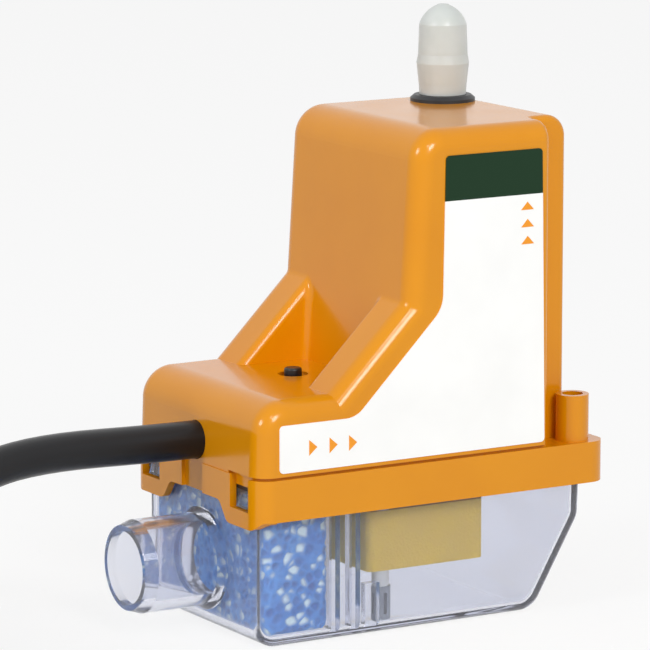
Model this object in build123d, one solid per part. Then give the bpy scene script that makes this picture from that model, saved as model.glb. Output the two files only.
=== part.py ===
from build123d import *
import math
import os

# Condensate pump: a clear collecting tank clipped under a moulded pump housing.
# X runs from the inlet end to the rear, the label side faces -Y and Z is up.
# The origin is the middle of the box around tank and housing, on the tank's underside.

# Driving dimensions of the housing, in millimetres
skirt_length = 75.7
skirt_width = 46.8
skirt_height = 7.7
skirt_corner = 3.8
skirt_wall = 1.4
inlet_reach = 14.5
deck_thickness = 2.0
casing_wall = 2.0
casing_inset = 0.25
groove_height = 0.5
groove_depth = 0.8
low_block_height = 14.1
low_front_lean = 0.5
low_front_round = 6.0
buttress_foot = 16.6
buttress_angle = 45.0
buttress_width = 11.15
tall_front = 31.9
tall_rear = 70.5
tall_height = 60.9
tall_lean_angle = 3.6
tall_front_round = 6.0
tall_rear_round = 4.0
buttress_round = 1.6
notch_front = 62.3
notch_depth = 7.3
notch_round = 1.3
boss_radius = 2.8
boss_height = 10.0
boss_rib = 1.6

# Skirt front: two clip lugs with windows and a shallow recess between them
lug_inner = 7.6
lug_corner_gap = 0.7
lug_drop = 1.5
lug_round = 2.0
lug_inner_slope = 3.0
lug_slope_start = 1.4
lug_outer_slope = 1.8
lug_side_reach = 0.2
middle_lift = 2.2
window_from_side = 6.9
window_width = 6.6
window_bottom = 1.6
window_catch_gap = 0.3
lug_recess_middle = 0.85
lug_recess_width = 7.7
lug_recess_depth = 0.8
lug_wrap = 4.6

# Tank
tank_wall = 1.6
tank_front_gap = 1.7
tank_side_gap = 1.7
tank_rear_gap = 4.0
rim_top = 28.7
rim_height = 2.2
rim_clearance = 0.2
slope_foot = 61.2
slope_top = 71.2
slope_top_height = 17.0
tank_front_round = 4.0
tank_side_round = 3.0
slope_round = 5.0
foam_rib = 17.9
float_rib = 22.2
rib_width = 1.8
rib_depth = 2.4
rib_top = 26.0
step_front = 24.2
step_length = 3.0
step_depth = 1.5
step_height = 9.6
catch_width = 4.0
catch_height = 2.4
catch_reach = 1.1
catch_top_setback = 0.2
gasket_thickness = 0.8

# Inlet spigot
inlet_radius = 8.65
inlet_bore = 6.8
inlet_height = 13.1
inlet_chamfer = 1.6
inlet_lip = 2.4
inlet_collar = 0.9
inlet_collar_length = 2.6

# Vent stub in the rear corner of the skirt
vent_from_front = 70.0
vent_from_side = 3.9
vent_radius = 3.1
vent_bore = 2.0
vent_height = 8.8
vent_relief = 0.7

# Filter and float
foam_clearance = 0.3
foam_top = 27.0
float_front = 25.3
float_length = 25.1
float_side_gap = 0.7
float_bottom = 11.4
float_height = 11.2
float_round = 1.5
float_pin_radius = 1.25
float_pin_head = 2.3
float_pin_head_height = 1.5
float_pin_clearance = 0.35
float_pin_rest_gap = 0.3
float_pin_spacing = 12.0
magnet_radius = 3.0
magnet_height = 2.0
magnet_from_front = 30.0
magnet_side = 10.0

# Suction line
suction_from_front = 29.0
suction_from_wall = 2.7
pipe_radius = 1.6
pipe_bore = 1.0
strainer_radius = 1.9
strainer_height = 6.3
strainer_floor_gap = 0.4
strainer_floor = 0.8
strainer_slots = 4
strainer_slot_width = 0.7
strainer_slot_margin = 1.2
nipple_height = 4.0
hose_radius = 2.25
hose_rise = 5.0
hose_foot = 6.0
hose_last_drop = 10.0
hose_arc = 4.5
hose_slant_arc = 6.0
hose_drop_from_front = 38.5

# Motor and pump head, stacked on one upright axis
pump_from_front = 51.5
socket_wall = 1.5
socket_height = 4.5
mount_wall = 1.4
mount_height = 4.9
fit_gap = 0.1
can_radius = 12.0
can_wall = 0.6
can_height = 18.0
motor_cap_thickness = 1.6
motor_cap_floor = 0.6
motor_cap_hole_gap = 0.5
shaft_radius = 1.0
shaft_end_gap = 0.1
running_gap = 0.03
bearing_radius = 3.0
bearing_height = 2.0
magnet_ring_radius = 5.0
magnet_ring_height = 9.0
stator_height = 8.0
stator_bore = 5.6
stator_back = 2.0
stator_gap = 0.02
shoe_thickness = 0.8
tooth_count = 6
tooth_width = 2.4
tooth_root = 0.5
coil_thickness = 1.1
coil_end_gap = 0.1
coil_back_gap = 0.75
head_side = 25.0
head_round = 3.0
chamber_height = 16.8
chamber_bore = 11.2
chamber_floor = 1.4
chamber_window = 12.0
chamber_window_bottom = 4.0
chamber_window_top = 3.5
crank_radius = 4.5
crank_height = 5.0
crank_lift = 0.5
crank_gap = 0.8
crank_shaft_cover = 1.1
wobble_angle = 6.0
wobble_pin_radius = 0.9
wobble_pin_top = 1.0
wobble_height = 13.4
hub_radius = 3.4
neck_radius = 2.4
neck_gap = 0.9
neck_bore_end = 0.7
plate_thickness = 1.8
arm_count = 3
arm_turn = 60.0
arm_width = 2.6
arm_reach = 7.2
arm_pad = 2.6
arm_hole_gap = 0.25
diaphragm_thickness = 1.2
diaphragm_inset = 0.2
cup_radius = 3.4
cup_wall = 0.8
cup_floor = 0.7
cup_depth = 2.0
stalk_radius = 0.9
stalk_length = 2.6
valve_plate_thickness = 2.5
valve_seat_radius = 2.3
valve_seat_depth = 0.9
valve_radius = 2.0
valve_thickness = 0.5
suction_port = 0.7
discharge_port = 0.6
discharge_port_share = 0.3
discharge_valve_radius = 3.2
discharge_valve_thickness = 0.6
head_cover_height = 4.0
head_cover_roof = 1.6
head_gallery_outer = 9.6
head_gallery_inner = 4.8
head_middle_radius = 3.8
head_inlet_forward = 6.0
head_inlet_near = 5.0
barb_radius = 1.6
barb_bore = 0.9
barb_height = 3.4
barb_root = 0.5
hose_bend = 3.2
hose_bend_reach = 4.3
hose_start_gap = 0.3
outlet_hose_extra = 0.75
head_screw_radius = 1.0
head_screw_spread = 10.3
head_screw_length = 9.2
head_screw_head = 1.9
head_screw_head_height = 1.3
head_hole_gap = 0.2
pad_size = 10.0
pad_gap = 0.3

# Outlet
outlet_from_front = 61.5
outlet_from_side = 10.6
spigot_radius = 3.0
spigot_bore = 2.0
spigot_height = 14.2
spigot_flange = 1.6
spigot_nipple = 3.6
barb_crest_radius = 3.7
barb_crest_height = 6.5
barb_crest_land = 1.5
barb_crest_slope = 2.2
grommet_radius = 6.15
grommet_lip = 1.2
grommet_edge = 0.7
grommet_neck = 4.3
grommet_hole_gap = 0.1
grommet_lower_lip = 1.3
grommet_lower_radius = 5.2
cap_lift = 0.05
cap_height = 18.3
cap_radius = 4.5
cap_foot_radius = 4.44
cap_flare_radius = 4.54
cap_flare_height = 3.1
cap_bulge_start = 5.2
cap_bulge = 5.0
cap_bulge_height = 7.25
cap_bulge_end = 8.9
cap_neck_radius = 4.7
cap_shoulder_height = 14.6
cap_shoulder_radius = 3.4
cap_shoulder_rise = 1.95
cap_tip_radius = 1.2
cap_tip_edge = 0.15
cap_bore = 3.8
cap_roof = 0.6
cap_relief_bore = 4.25
cap_relief_below = 0.4
cap_relief_above = 0.6
cap_relief_slope = 0.4

# Electronics in the low block
board_front = 11.0
board_rear = 31.0
board_near_gap = 7.15
board_far_gap = 1.65
board_height = 4.5
board_thickness = 1.4
board_screw_inset = 2.2
board_pillar_radius = 1.6
board_hole_radius = 0.9
board_screw_radius = 0.88
board_screw_head = 1.5
board_screw_head_height = 1.0
transformer_front = 23.4
transformer_near = 3.2
transformer_length = 6.6
transformer_width = 9.6
transformer_height = 5.4
transformer_leg = 1.4
winding_inset = 1.6
tall_capacitor_place = (14.6, 11.0)
tall_capacitor_radius = 2.5
tall_capacitor_height = 5.6
short_capacitor_place = (18.4, -9.8)
short_capacitor_radius = 2.0
short_capacitor_height = 5.2
terminal_length = 4.2
terminal_height = 4.6
terminal_margin = 0.2
terminal_pitch = 3.0
terminal_hole = 1.1
terminal_hole_depth = 2.0
switch_side = 4.8
switch_well_radius = 1.2
switch_well_depth = 1.3
sensor_front = 24.6
sensor_length = 10.4
sensor_width = 10.0
sensor_thickness = 1.0
sensor_chip_front = 28.4
sensor_chip_length = 3.2
sensor_chip_width = 2.8
sensor_chip_height = 1.2
solder_gap = 0.02
motor_lead_radius = 0.5
motor_lead_pitch = 2.0
motor_lead_side = 5.0
motor_lead_rise = 0.8
motor_lead_overlap = 0.8
button_from_front = 21.0
button_radius = 1.65
button_gap = 0.15
button_edge = 0.4
button_proud = 1.2
button_travel = 0.8
button_dish_radius = 2.8
button_dish_depth = 0.6
button_flange = 0.8
button_flange_reach = 0.8
button_flange_gap = 0.3
button_stem_radius = 1.0
button_stem_length = 1.4
button_stem_rest = 0.3

# Casing screws, up through the deck
casing_screw_front = 7.0
casing_screw_far_rear = 64.0
casing_screw_near_rear = 58.5
casing_screw_from_side = 5.15
casing_screw_rear_from_side = 4.15
casing_screw_radius = 1.08
casing_screw_length = 7.0
casing_screw_head = 2.5
casing_screw_head_height = 1.5
casing_screw_pilot = 1.1
casing_screw_hole = 1.5

# Mains lead
cable_radius = 3.5
cable_deck_gap = 0.4
cable_hole_gap = 0.1
cable_inner_end = 8.0
clamp_front = 3.4
clamp_length = 4.2
clamp_side = 4.5
clamp_gap = 0.2
clamp_roof = 1.6
clamp_channel_gap = 0.02
clamp_channel_start = 5.0
clamp_channel_length = 20.0
clamp_screw_side = 2.5
clamp_screw_radius = 0.78
clamp_pilot_radius = 0.8
clamp_hole_radius = 1.1
clamp_head_radius = 1.9
clamp_head_height = 1.2
clamp_screw_foot = 0.6
coil_from_front = -80.1
coil_side = 21.6
coil_turn_radius = 38.0
coil_wide = 2
coil_high = 3
lead_join_angle = 235.0
lead_landing = 80.0
last_run = 12.0
tie_angle = 195.0
tie_width = 6.0
tie_thickness = 1.0
tail_angle = 155.0
tail_length = 24.0
tail_bend = 24.0
tail_room = 60.0
core_count = 4
core_radius = 0.75
core_length = 24.0
core_knee = 5.0
core_bend = 8.0
core_turn = 40.0
core_spread = 9.0
bare_length = 7.0
bare_share = 0.6
inner_core_radius = 0.6
core_spacing = 1.3
core_rise = 2.2

# Label on the -Y side
label_thickness = 0.2
label_front = 4.6
label_rear_margin = 1.0
label_bottom_margin = 1.2
label_top_margin = 4.8
label_band_height = 8.7
label_slope_gap = 4.0
label_tall_gap = 7.1
label_lean_angle = 1.0
label_round = 0.8
label_knee_round = 6.0
label_foot_round = 5.0

# Heights and places that follow
front = (inlet_reach - skirt_length) / 2
rear = front + skirt_length
half_width = skirt_width / 2
deck_bottom = rim_top + gasket_thickness
deck_top = deck_bottom + deck_thickness
skirt_bottom = deck_top - skirt_height
low_top = deck_top + low_block_height
tall_top = deck_top + tall_height
casing_half = half_width - casing_inset
casing_inner = casing_half - casing_wall
tank_inner = half_width - tank_side_gap - tank_wall
window_middle = half_width - window_from_side
lug_outer = half_width - lug_corner_gap
vent_side = half_width - vent_from_side
outlet_side = half_width - outlet_from_side
float_half = tank_inner - float_side_gap
suction_side = tank_inner - suction_from_wall
board_near = board_near_gap - casing_inner
board_far = casing_inner - board_far_gap
cable_height = deck_top + cable_radius + cable_deck_gap
clamp_half = cable_radius + clamp_side
clamp_screw_place = cable_radius + clamp_screw_side
buttress_top = low_top + (tall_front - buttress_foot) * math.tan(math.radians(buttress_angle))
recess_half = half_width - buttress_width - casing_inset
far_below = 20.0


def at(from_front, y=0.0, z=0.0):
    """A point given by its distance behind the skirt's front face."""
    return (front + from_front, y, z)


def outline(points, radii, plane=Plane.XY):
    """A closed face with one corner radius for each point."""
    return plane * make_face(FilletPolyline(*points, radius=radii, close=True))


def slab(face, bottom, height):
    """A level face raised from one height."""
    return extrude(Pos(0, 0, bottom) * face, amount=height, dir=(0, 0, 1))


def block(low, high):
    """A box between two corners."""
    size = [high[i] - low[i] for i in range(3)]
    return Pos(*low) * Box(*size, align=(Align.MIN, Align.MIN, Align.MIN))


def rod(x, y, bottom, top, radius):
    """An upright cylinder between two heights."""
    return Pos(x, y, bottom) * Cylinder(radius, top - bottom, align=(Align.CENTER, Align.CENTER, Align.MIN))


def turned(points, x, y):
    """A solid of revolution about an upright axis, from radius and height pairs."""
    face = Plane.XZ * make_face(Polyline(*points, close=True))
    return Pos(x, y, 0) * revolve(face, Axis.Z)


def skirt_plan(inset):
    """The skirt's plan outline, inset by a distance."""
    width = skirt_width - 2 * inset
    length = skirt_length - 2 * inset
    return Pos(front + skirt_length / 2, 0, 0) * RectangleRounded(length, width, skirt_corner - inset)


# Housing shell


def casing_side(bottom):
    """Side view of the casing: low block, sloping buttress and leaning tall block."""
    lean = math.tan(math.radians(tall_lean_angle))
    points = [
        (front + casing_inset, bottom),
        (front + casing_inset + low_front_lean, low_top),
        (front + buttress_foot, low_top),
        (front + tall_front, buttress_top),
        (front + tall_front + (tall_top - buttress_top) * lean, tall_top),
        (front + tall_rear, tall_top),
        (front + tall_rear, bottom),
    ]
    radii = [0, low_front_round, 0, 0, tall_front_round, tall_rear_round, 0]
    return outline(points, radii, Plane.XZ)


def recess_cut(margin):
    """The space between the two buttresses, over the low block."""
    lean = math.tan(math.radians(tall_lean_angle))
    foot = front + tall_front - (buttress_top - low_top) * lean
    points = [
        (front + buttress_foot - 6, low_top - margin),
        (foot + margin, low_top - margin),
        (front + tall_front + margin, buttress_top + margin),
        (front + buttress_foot - 6, buttress_top + margin),
    ]
    face = Plane.XZ * make_face(Polyline(*points, close=True))
    return extrude(face, amount=recess_half + margin, both=True)


def notch_cut(margin):
    """The step down the rear corner that clears the vent stub."""
    low = at(notch_front - margin, -half_width - 1, deck_top - far_below)
    return block(low, at(tall_rear + 5, -half_width + notch_depth + margin, tall_top + 5))


def recess_edges(body, least_rise, most_rise):
    """Straight edges of the buttresses' inner walls, picked by how steeply they rise."""
    return [
        edge
        for edge in body.edges()
        if edge.geom_type == GeomType.LINE
        and abs(abs(edge.center().Y) - recess_half) < 0.05
        and edge.center().Z > low_top
        and least_rise < abs((edge % 0).Z) < most_rise
    ]


def upper_casing():
    side_round = skirt_corner - casing_inset
    body = extrude(casing_side(deck_top), amount=casing_half, both=True)
    side_edges = [
        edge
        for edge in body.edges()
        if abs(abs(edge.center().Y) - casing_half) < 0.01 and edge.center().Z > deck_top + 0.01
    ]
    body = fillet(side_edges, side_round)
    body -= recess_cut(0)
    body = fillet(recess_edges(body, 0.3, 0.95), buttress_round)
    body = fillet(recess_edges(body, 0.95, 1.01), buttress_round)
    body -= notch_cut(0)
    notch_edges = body.edges().filter_by(Axis.Z).filter_by(
        lambda edge: edge.center().X > front + notch_front - 0.1
        and edge.center().Y < -half_width + notch_depth + 0.1
        and edge.length > tall_height / 2
    )
    body = fillet(notch_edges, notch_round)

    floor = deck_top - far_below
    inner = extrude(offset(casing_side(floor), -casing_wall), amount=casing_inner, both=True)
    inner_edges = [
        edge
        for edge in inner.edges()
        if abs(abs(edge.center().Y) - casing_inner) < 0.01 and edge.center().Z > floor + casing_wall + 0.1
    ]
    inner = fillet(inner_edges, max(side_round - casing_wall, 0.3))
    inner -= recess_cut(casing_wall)
    inner -= notch_cut(casing_wall)
    inner -= block(at(0, -half_width, 0), at(skirt_length, half_width, deck_top))
    body -= inner

    ring = slab(skirt_plan(-casing_wall), deck_top, groove_height)
    ring -= slab(skirt_plan(casing_inset + groove_depth), deck_top, groove_height)
    keep = window_middle - window_width / 2 - 1
    ring -= block(at(-3, -keep, deck_top), at(lug_wrap, half_width + 3, deck_top + groove_height))
    body -= ring

    for x, y in casing_screw_places():
        body += screw_boss(x, y)

    cable_hole = Cylinder(cable_radius + cable_hole_gap, 3 * casing_wall)
    body -= Pos(front, 0, cable_height) * Rotation(0, 90, 0) * cable_hole
    button_x = front + button_from_front
    body -= rod(button_x, 0, low_top - casing_wall - 1, low_top + 1, button_radius + button_gap)
    body -= rod(button_x, 0, low_top - button_dish_depth, low_top + 1, button_dish_radius)
    outlet_x = front + outlet_from_front
    body -= rod(outlet_x, outlet_side, tall_top - casing_wall - 1, tall_top + 1, grommet_neck + grommet_hole_gap)
    return body


def screw_boss(x, y):
    """A blind boss for a casing screw, tied to the side wall by a rib."""
    low, high = sorted((y, math.copysign(casing_half - casing_wall / 2, y)))
    boss = block((x - boss_rib / 2, low, deck_top), (x + boss_rib / 2, high, deck_top + boss_height))
    boss += rod(x, y, deck_top, deck_top + boss_height, boss_radius)
    return boss - rod(x, y, deck_top - 1, deck_top + boss_height - casing_wall, casing_screw_pilot)


def casing_screw_places():
    side = casing_inner - casing_screw_from_side
    rear_side = casing_inner - casing_screw_rear_from_side
    return [
        at(casing_screw_front, side)[:2],
        at(casing_screw_front, -side)[:2],
        at(casing_screw_far_rear, rear_side)[:2],
        at(casing_screw_near_rear, -rear_side)[:2],
    ]


# Skirt, deck and clip lugs


def lug_mask(side):
    """Front view of one clip lug, pushed through the skirt's front wall."""
    low = skirt_bottom - lug_drop
    points = [
        (lug_inner, deck_top),
        (lug_inner, skirt_bottom + middle_lift),
        (lug_inner + lug_inner_slope - lug_slope_start, skirt_bottom + middle_lift),
        (lug_inner + lug_inner_slope + lug_slope_start, low),
        (lug_outer - lug_outer_slope, low),
        (lug_outer, skirt_bottom),
        (half_width + lug_side_reach, skirt_bottom),
        (half_width + lug_side_reach, deck_top),
    ]
    radii = [0, 0, lug_round, lug_round, lug_round, 0, 0, 0]
    face = outline([(side * y, z) for y, z in points], radii, Plane.YZ)
    return Pos(front - 1, 0, 0) * extrude(face, amount=lug_wrap + 1, dir=(1, 0, 0))


def lug_blank(side):
    low = skirt_bottom - lug_drop
    wall = slab(skirt_plan(0), low, deck_top - low) - slab(skirt_plan(skirt_wall), low, deck_top - low)
    return wall & lug_mask(side)


def window_cut(side):
    low = at(-2, side * window_middle - window_width / 2, skirt_bottom + window_bottom)
    return block(low, at(2 * skirt_wall, side * window_middle + window_width / 2, deck_top))


def clip_lugs():
    return [lug_blank(side) - window_cut(side) for side in (-1, 1)]


def base_skirt():
    body = slab(skirt_plan(0), skirt_bottom, skirt_height)
    body -= slab(skirt_plan(skirt_wall), skirt_bottom, skirt_height)
    body += slab(skirt_plan(skirt_wall / 2), deck_bottom, deck_thickness)
    for side in (-1, 1):
        body -= lug_blank(side)
    strip = lug_outer - lug_round
    body -= block(at(-1, -strip, skirt_bottom - 1), at(skirt_wall, strip, skirt_bottom + middle_lift))
    recess_low = lug_recess_middle - lug_recess_width / 2
    recess_high = lug_recess_middle + lug_recess_width / 2
    body -= block(at(-1, recess_low, skirt_bottom), at(lug_recess_depth, recess_high, deck_top))

    vent_x = front + vent_from_front
    body += rod(vent_x, -vent_side, deck_top - 1, deck_top + vent_height, vent_radius)
    body -= rod(vent_x, -vent_side, deck_bottom - 1, deck_top + vent_height + 1, vent_bore)

    pump_x = front + pump_from_front
    socket = can_radius + mount_wall + 2 * fit_gap
    body += rod(pump_x, 0, deck_top - 1, deck_top + socket_height, socket + socket_wall)
    body -= rod(pump_x, 0, deck_top, deck_top + socket_height + 1, socket)

    for x, y in board_corners():
        body += rod(x, y, deck_top - 1, deck_top + board_height, board_pillar_radius)
    for place in casing_screw_places():
        body -= rod(*place, deck_bottom - 1, deck_top + 1, casing_screw_hole)
    for x in float_pin_places():
        body -= rod(x, 0, deck_bottom - 1, deck_top + solder_gap / 2, float_pin_radius)

    suction_x = front + suction_from_front
    body += rod(suction_x, -suction_side, deck_top - 1, deck_top + nipple_height, barb_radius)
    body -= rod(suction_x, -suction_side, deck_bottom - 1, deck_top + nipple_height + 1, pipe_bore)
    body -= rod(suction_x, -suction_side, deck_bottom - 1, deck_bottom + 1, pipe_radius)

    low = at(clamp_front, -clamp_half, deck_top - 1)
    saddle = block(low, at(clamp_front + clamp_length, clamp_half, cable_height - clamp_gap))
    body += saddle - cable_channel()
    for y in (-clamp_screw_place, clamp_screw_place):
        body -= rod(front + clamp_front + clamp_length / 2, y, deck_top, cable_height, clamp_pilot_radius)
    return body


def cable_channel():
    start = front + cable_inner_end + clamp_channel_start
    bore = cable_radius + clamp_channel_gap
    channel = Cylinder(bore, clamp_channel_length, align=(Align.CENTER, Align.CENTER, Align.MIN))
    return Pos(start, 0, cable_height) * Rotation(0, -90, 0) * channel


def board_corners():
    xs = (front + board_front + board_screw_inset, front + board_rear - board_screw_inset)
    ys = (board_near + board_screw_inset, board_far - board_screw_inset)
    return [(x, y) for x in xs for y in ys]


# Tank


def tank_side(inset, top):
    """Side view of the tank, with the wall that slopes up at the rear."""
    points = [
        (front + tank_front_gap, 0),
        (front + slope_foot, 0),
        (front + slope_top, slope_top_height),
        (rear - tank_rear_gap, top),
        (front + tank_front_gap, top),
    ]
    face = outline(points, [tank_front_round, slope_round, slope_round, 0, 0], Plane.XZ)
    return offset(face, -inset) if inset else face


def tank_form(inset, top):
    half = half_width - tank_side_gap - inset
    body = extrude(tank_side(inset, top), amount=half, both=True)
    edges = [
        edge
        for edge in body.edges()
        if abs(abs(edge.center().Y) - half) < 0.01 and edge.center().Z < top - inset - 0.01
    ]
    return fillet(edges, tank_side_round - inset)


def tank():
    body = tank_form(0, rim_top)
    rim = slab(skirt_plan(skirt_wall + rim_clearance), rim_top - rim_height, rim_height)
    body += rim
    hollow = tank_form(tank_wall, rim_top + 10)
    body -= hollow

    for side in (-1, 1):
        wall = side * (tank_inner + tank_wall / 2)
        for middle in (foam_rib, float_rib):
            tip = side * (tank_inner - rib_depth)
            low, high = sorted((wall, tip))
            body += block(at(middle - rib_width / 2, low, tank_wall / 2), at(middle + rib_width / 2, high, rib_top))
        tip = side * (tank_inner - step_depth)
        low, high = sorted((wall, tip))
        body += block(at(step_front, low, tank_wall / 2), at(step_front + step_length, high, step_height))
        body += tank_catch(side)

    axis = Pos(front - inlet_reach, 0, inlet_height) * Rotation(0, 90, 0)
    reach = inlet_reach + tank_front_gap + tank_wall / 2
    spigot_side = [
        (inlet_bore, 0),
        (inlet_radius - inlet_chamfer / 2, 0),
        (inlet_radius, inlet_lip),
        (inlet_radius, reach - inlet_collar_length),
        (inlet_radius + inlet_collar, reach - inlet_collar_length / 2),
        (inlet_radius + inlet_collar, reach),
        (inlet_bore, reach),
    ]
    spigot = axis * revolve(Plane.XZ * make_face(Polyline(*spigot_side, close=True)), Axis.Z)
    body += spigot
    body -= Pos(front - inlet_reach - 1, 0, inlet_height) * Rotation(0, 90, 0) * Cylinder(
        inlet_bore, inlet_reach + 6, align=(Align.CENTER, Align.CENTER, Align.MIN)
    )
    body -= rod(front + vent_from_front, -vent_side, rim_top - rim_height - 1, rim_top + 1, vent_bore + vent_relief)
    return body


def tank_catch(side):
    """A wedge that snaps into the lug's window, steep below and sloping above."""
    bottom = skirt_bottom + window_bottom + window_catch_gap
    root = tank_front_gap + tank_wall / 2
    tip = tank_front_gap - catch_reach
    points = [
        at(root, 0, bottom),
        at(tip, 0, bottom),
        at(tank_front_gap - catch_top_setback, 0, bottom + catch_height),
        at(root, 0, bottom + catch_height),
    ]
    face = Plane.XZ * make_face(Polyline(*[(x, z) for x, _, z in points], close=True))
    return Pos(0, side * window_middle, 0) * extrude(face, amount=catch_width / 2, both=True)


def tank_gasket():
    body = slab(skirt_plan(skirt_wall + rim_clearance), rim_top, gasket_thickness)
    body -= slab(inner_plan(), rim_top - 1, gasket_thickness + 2)
    body -= rod(front + vent_from_front, -vent_side, rim_top - 1, deck_bottom + 1, vent_bore + vent_relief)
    return body


def inner_plan():
    """The tank's mouth seen from above."""
    start = front + tank_front_gap + tank_wall
    end = rear - tank_rear_gap - tank_wall
    plan = RectangleRounded(end - start, 2 * tank_inner, tank_side_round - tank_wall)
    return Pos((start + end) / 2, 0, 0) * plan


def filter_foam():
    start = tank_front_gap + tank_wall + foam_clearance
    end = foam_rib - rib_width / 2 - foam_clearance
    half = tank_inner - foam_clearance
    bottom = tank_wall + foam_clearance
    points = [
        (front + start, bottom),
        (front + end, bottom),
        (front + end, foam_top),
        (front + start, foam_top),
    ]
    side = outline(points, [tank_front_round - tank_wall, 0, 0, 0], Plane.XZ)
    body = extrude(side, amount=half, both=True)
    wall_edges = [
        edge
        for edge in body.edges()
        if abs(abs(edge.center().Y) - half) < 0.01
        and edge.center().Z < foam_top - 0.01
        and edge.center().X < front + end - 0.01
    ]
    return fillet(wall_edges, tank_side_round - tank_wall)


# Float


def float_pin_places():
    middle = front + float_front + float_length / 2
    return [middle - float_pin_spacing / 2, middle + float_pin_spacing / 2]


def float_block():
    top = float_bottom + float_height
    low = at(float_front, -float_half, float_bottom)
    body = block(low, at(float_front + float_length, float_half, top))
    body = fillet(body.edges().filter_by(Axis.Z), float_round)
    for x in float_pin_places():
        body -= rod(x, 0, float_bottom - 1, top + 1, float_pin_radius + float_pin_clearance)
    pipe_x = front + suction_from_front
    body -= rod(pipe_x, -suction_side, float_bottom - 1, top + 1, pipe_radius + float_pin_clearance)
    body -= rod(front + magnet_from_front, magnet_side, top - magnet_height, top + 1, magnet_radius)
    return body


def float_magnet():
    top = float_bottom + float_height
    return rod(front + magnet_from_front, magnet_side, top - magnet_height, top, magnet_radius)


def float_pins():
    head_top = float_bottom - float_pin_rest_gap
    pins = []
    for x in float_pin_places():
        pin = rod(x, 0, head_top - float_pin_head_height, head_top, float_pin_head)
        pin += rod(x, 0, head_top - float_pin_head_height, deck_top, float_pin_radius)
        pins.append(pin)
    return pins


# Suction line


def suction_pipe():
    x = front + suction_from_front
    bottom = tank_wall + strainer_floor_gap + strainer_height
    pipe = rod(x, -suction_side, bottom, deck_bottom + 1, pipe_radius)
    return pipe - rod(x, -suction_side, bottom - 1, deck_bottom + 2, pipe_bore)


def suction_strainer():
    x = front + suction_from_front
    bottom = tank_wall + strainer_floor_gap
    top = bottom + strainer_height
    body = rod(x, -suction_side, bottom, top, strainer_radius)
    body -= rod(x, -suction_side, bottom + strainer_floor, top + 1, pipe_bore)
    slot = Box(3 * strainer_radius, strainer_slot_width, strainer_height - 2 * strainer_slot_margin)
    slot = Pos(0, 0, bottom + strainer_height / 2) * slot
    for i in range(strainer_slots // 2):
        body -= Pos(x, -suction_side, 0) * Rotation(0, 0, 180 * i / (strainer_slots // 2)) * slot
    return body


def hose(points, radii, radius, bore):
    """A soft tube along straight runs joined by arcs."""
    path = FilletPolyline(*points, radius=radii)
    start = Plane(origin=path @ 0, z_dir=path % 0)
    tube = sweep(start * Circle(radius), path=path)
    return tube - sweep(start * Circle(bore), path=path)


def suction_hose():
    head_top = pump_level("head") + head_cover_height
    inlet_x, inlet_y = head_inlet()
    top = head_top + barb_height + hose_rise
    foot = deck_top + nipple_height + hose_foot
    points = [
        (inlet_x, inlet_y, head_top + hose_start_gap),
        (inlet_x, inlet_y, top),
        at(hose_drop_from_front, -suction_side, top),
        at(hose_drop_from_front, -suction_side, foot + hose_last_drop),
        at(suction_from_front, -suction_side, foot),
        at(suction_from_front, -suction_side, deck_top + hose_start_gap),
    ]
    return hose(points, [hose_arc, hose_arc, hose_slant_arc, hose_arc], hose_radius, barb_radius)


def outlet_hose():
    head_top = pump_level("head") + head_cover_height
    x, y = pump_axis()
    points = [
        (x, y, head_top + hose_start_gap),
        (x, y, head_top + barb_height + hose_bend_reach),
        at(outlet_from_front, outlet_side, spigot_bottom() - hose_bend_reach),
        at(outlet_from_front, outlet_side, spigot_bottom() + spigot_nipple - hose_start_gap),
    ]
    return hose(points, [hose_bend, hose_bend], hose_radius + outlet_hose_extra, barb_radius)


# Motor


def pump_axis():
    return front + pump_from_front, 0.0


def pump_level(name):
    """Heights of the parts stacked on the deck."""
    can_bottom = deck_top + 2 * fit_gap + mount_wall
    can_top = can_bottom + can_height
    chamber_top = can_top + chamber_height
    plate = chamber_top + diaphragm_thickness
    levels = {
        "can": can_bottom,
        "chamber": can_top,
        "diaphragm": chamber_top,
        "plate": plate,
        "head": plate + valve_plate_thickness,
        "wobble": can_top + wobble_height,
    }
    return levels[name]


def motor_mount():
    x, y = pump_axis()
    outer = can_radius + mount_wall + fit_gap
    bottom = deck_top + fit_gap
    body = rod(x, y, bottom, bottom + mount_height, outer)
    return body - rod(x, y, bottom + mount_wall, bottom + mount_height + 1, can_radius + fit_gap)


def motor_can():
    x, y = pump_axis()
    bottom = pump_level("can")
    body = rod(x, y, bottom, bottom + can_height, can_radius)
    body -= rod(x, y, bottom + can_wall, bottom + can_height + 1, can_radius - can_wall)
    body += rod(x, y, bottom, bottom + can_wall + bearing_height, bearing_radius + can_wall)
    return body - rod(x, y, bottom + can_wall, bottom + can_height, bearing_radius)


def motor_cap():
    x, y = pump_axis()
    top = pump_level("chamber")
    seat = top - motor_cap_floor
    body = rod(x, y, top - motor_cap_thickness, top, can_radius - can_wall)
    body += rod(x, y, seat - bearing_height, top, bearing_radius + can_wall)
    body -= rod(x, y, seat - bearing_height - 1, seat, bearing_radius)
    return body - rod(x, y, seat - 1, top + 1, shaft_radius + motor_cap_hole_gap)


def motor_bearings():
    x, y = pump_axis()
    bottoms = (pump_level("can") + can_wall, pump_level("chamber") - motor_cap_floor - bearing_height)
    rings = []
    for bottom in bottoms:
        ring = rod(x, y, bottom, bottom + bearing_height, bearing_radius)
        rings.append(ring - rod(x, y, bottom - 1, bottom + bearing_height + 1, shaft_radius + running_gap))
    return rings


def motor_middle():
    return (pump_level("can") + pump_level("chamber")) / 2


def motor_shaft():
    x, y = pump_axis()
    return rod(x, y, pump_level("can") + can_wall + shaft_end_gap, crank_top() - crank_shaft_cover, shaft_radius)


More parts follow.
